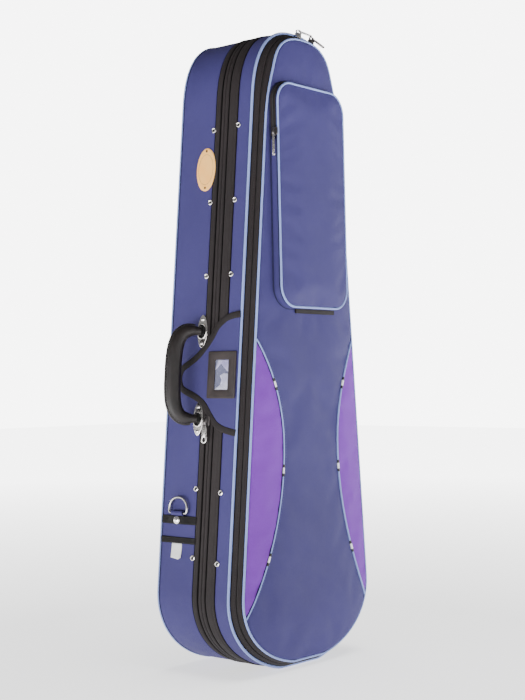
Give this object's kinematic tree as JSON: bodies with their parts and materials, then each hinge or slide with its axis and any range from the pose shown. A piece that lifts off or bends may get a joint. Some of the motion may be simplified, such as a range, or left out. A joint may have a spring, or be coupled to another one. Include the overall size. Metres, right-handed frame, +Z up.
{
  "type": "violin case",
  "caption": "Shaped full-size violin case with zipped lid, music pocket, accessory pocket, side handle, D-ring, closing tongue and fitted interior.",
  "frame": {"origin": "middle of the small flat that the wide end stands on, on the floor", "axes": "+Z up along the case, -Y to the front with the music pocket, -X to the handle side"},
  "size_m": [0.2822, 0.1504, 0.7963],
  "materials": {
    "blue_fabric": "fine plain-weave nylon",
    "purple_fabric": "fine plain-weave nylon with a soft sheen",
    "piping": "corded satin piping",
    "black_tape": "woven zipper tape and webbing",
    "laminate": "moulded laminate shell board",
    "plush": "short-pile lining plush",
    "leather": "black grained leather",
    "chrome": "polished",
    "brass": "satin",
    "clear_film": "clear flexible film",
    "white_label": "woven satin label"
  },
  "bodies": {
    "rear": {"rear_shell": "laminate", "rear_cover": "blue_fabric", "rear_lining": "plush", "rear_piping": "piping", "rear_zipper_tape": "black_tape", "handle_plate_upper": "chrome", "handle_plate_lower": "chrome", "handle_screw_1": "chrome", "handle_screw_2": "chrome", "handle_screw_3": "chrome", "handle_screw_4": "chrome", "badge": "brass", "badge_rivet_upper": "brass", "badge_rivet_lower": "brass", "webbing_upper": "black_tape", "webbing_lower": "black_tape", "dring_tab": "blue_fabric", "dring_rivet": "chrome", "care_tag": "white_label", "violin_cradle": "plush", "neck_rest": "plush", "neck_strap": "black_tape", "accessory_box": "plush"},
    "accessory_lid": {"accessory_box_lid": "plush"},
    "handle": {"handle_grip": "leather", "handle_pin_upper": "chrome", "handle_pin_lower": "chrome"},
    "d_ring": {"d_ring": "chrome"},
    "lid": {"lid_shell": "laminate", "lid_cover": "blue_fabric", "lid_lining": "plush", "lid_piping": "piping", "lid_zipper_tape": "black_tape", "pocket_zipper_tape": "black_tape", "bow_tip_sleeve": "plush", "music_left_slider": "chrome", "music_right_slider": "chrome"},
    "bow_clip_left": {"bow_clip_left": "leather"},
    "bow_clip_right": {"bow_clip_right": "leather"},
    "music_left_pull": {"music_left_pull": "chrome"},
    "music_right_pull": {"music_right_pull": "chrome"},
    "closing_flap": {"closing_flap": "blue_fabric", "id_frame": "leather", "id_window": "clear_film"},
    "music_panel": {"music_panel": "blue_fabric", "panel_piping": "piping", "panel_zipper_tape": "black_tape", "inset_left": "purple_fabric", "inset_right": "purple_fabric", "inset_piping_left": "piping", "inset_piping_right": "piping", "pocket_body": "blue_fabric", "pocket_piping": "piping"},
    "pocket_flap": {"pocket_flap": "blue_fabric", "pocket_flap_piping": "piping"},
    "pocket_slider": {"pocket_slider": "chrome"},
    "pocket_pull": {"pocket_pull": "chrome"},
    "main_slider": {"main_slider": "chrome"},
    "main_pull": {"main_pull": "chrome"}
  },
  "joints": [
    {"name": "lid_hinge", "type": "hinge", "parent": "rear", "child": "lid", "pos_m": [0.10716, -0.007, 0.4], "axis": [-0.0868, 0, 0.9962], "range_deg": [0, 100]},
    {"name": "music_panel_hinge", "type": "hinge", "parent": "lid", "child": "music_panel", "pos_m": [0.10064, -0.0573, 0.4], "axis": [-0.0868, 0, 0.9962], "range_deg": [0, 95]},
    {"name": "flap_lift", "type": "hinge", "parent": "lid", "child": "closing_flap", "pos_m": [-0.11064, -0.047, 0.36353], "axis": [0.0868, 0, 0.9962], "range_deg": [0, 10]},
    {"name": "pocket_flap_hinge", "type": "hinge", "parent": "music_panel", "child": "pocket_flap", "pos_m": [0, -0.0818, 0.6493], "axis": [1, 0, 0], "range_deg": [0, 60]},
    {"name": "handle_swing", "type": "hinge", "parent": "rear", "child": "handle", "pos_m": [-0.11649, 0.011, 0.36202], "axis": [0.0868, 0, 0.9962], "range_deg": [-15, 75]},
    {"name": "dring_swing", "type": "hinge", "parent": "rear", "child": "d_ring", "pos_m": [-0.12933, 0.0345, 0.19386], "axis": [0, 1, 0], "range_deg": [-120, 0]},
    {"name": "accessory_lid_hinge", "type": "hinge", "parent": "rear", "child": "accessory_lid", "pos_m": [0, 0.0127, 0.664], "axis": [1, 0, 0], "range_deg": [0, 75]},
    {"name": "bow_clip_left_turn", "type": "hinge", "parent": "lid", "child": "bow_clip_left", "pos_m": [-0.038, -0.034, 0.15], "axis": [0, 1, 0], "continuous": true},
    {"name": "bow_clip_right_turn", "type": "hinge", "parent": "lid", "child": "bow_clip_right", "pos_m": [0.038, -0.034, 0.15], "axis": [0, 1, 0], "continuous": true},
    {"name": "main_slider_travel", "type": "slide", "parent": "rear", "child": "main_slider", "axis": [0.0868, 0, 0.9962], "range_m": [-0.175, 0]},
    {"name": "main_pull_swing", "type": "hinge", "parent": "main_slider", "child": "main_pull", "pos_m": [-0.12163, -0.004, 0.30303], "axis": [0, 1, 0], "range_deg": [0, 60]},
    {"name": "music_left_pull_swing", "type": "hinge", "parent": "lid", "child": "music_left_pull", "pos_m": [0.00791, -0.0545, 0.79546], "axis": [0, 1, 0], "range_deg": [-150, 0]},
    {"name": "music_right_pull_swing", "type": "hinge", "parent": "lid", "child": "music_right_pull", "pos_m": [0.03503, -0.0545, 0.79047], "axis": [0, 1, 0], "range_deg": [-110, 0]},
    {"name": "pocket_slider_travel", "type": "slide", "parent": "music_panel", "child": "pocket_slider", "axis": [0, 0, 1], "range_m": [0, 0.03]},
    {"name": "pocket_pull_swing", "type": "hinge", "parent": "pocket_slider", "child": "pocket_pull", "pos_m": [-0.0727, -0.0755, 0.6525], "axis": [0, 1, 0], "range_deg": [0, 150]}
  ]
}
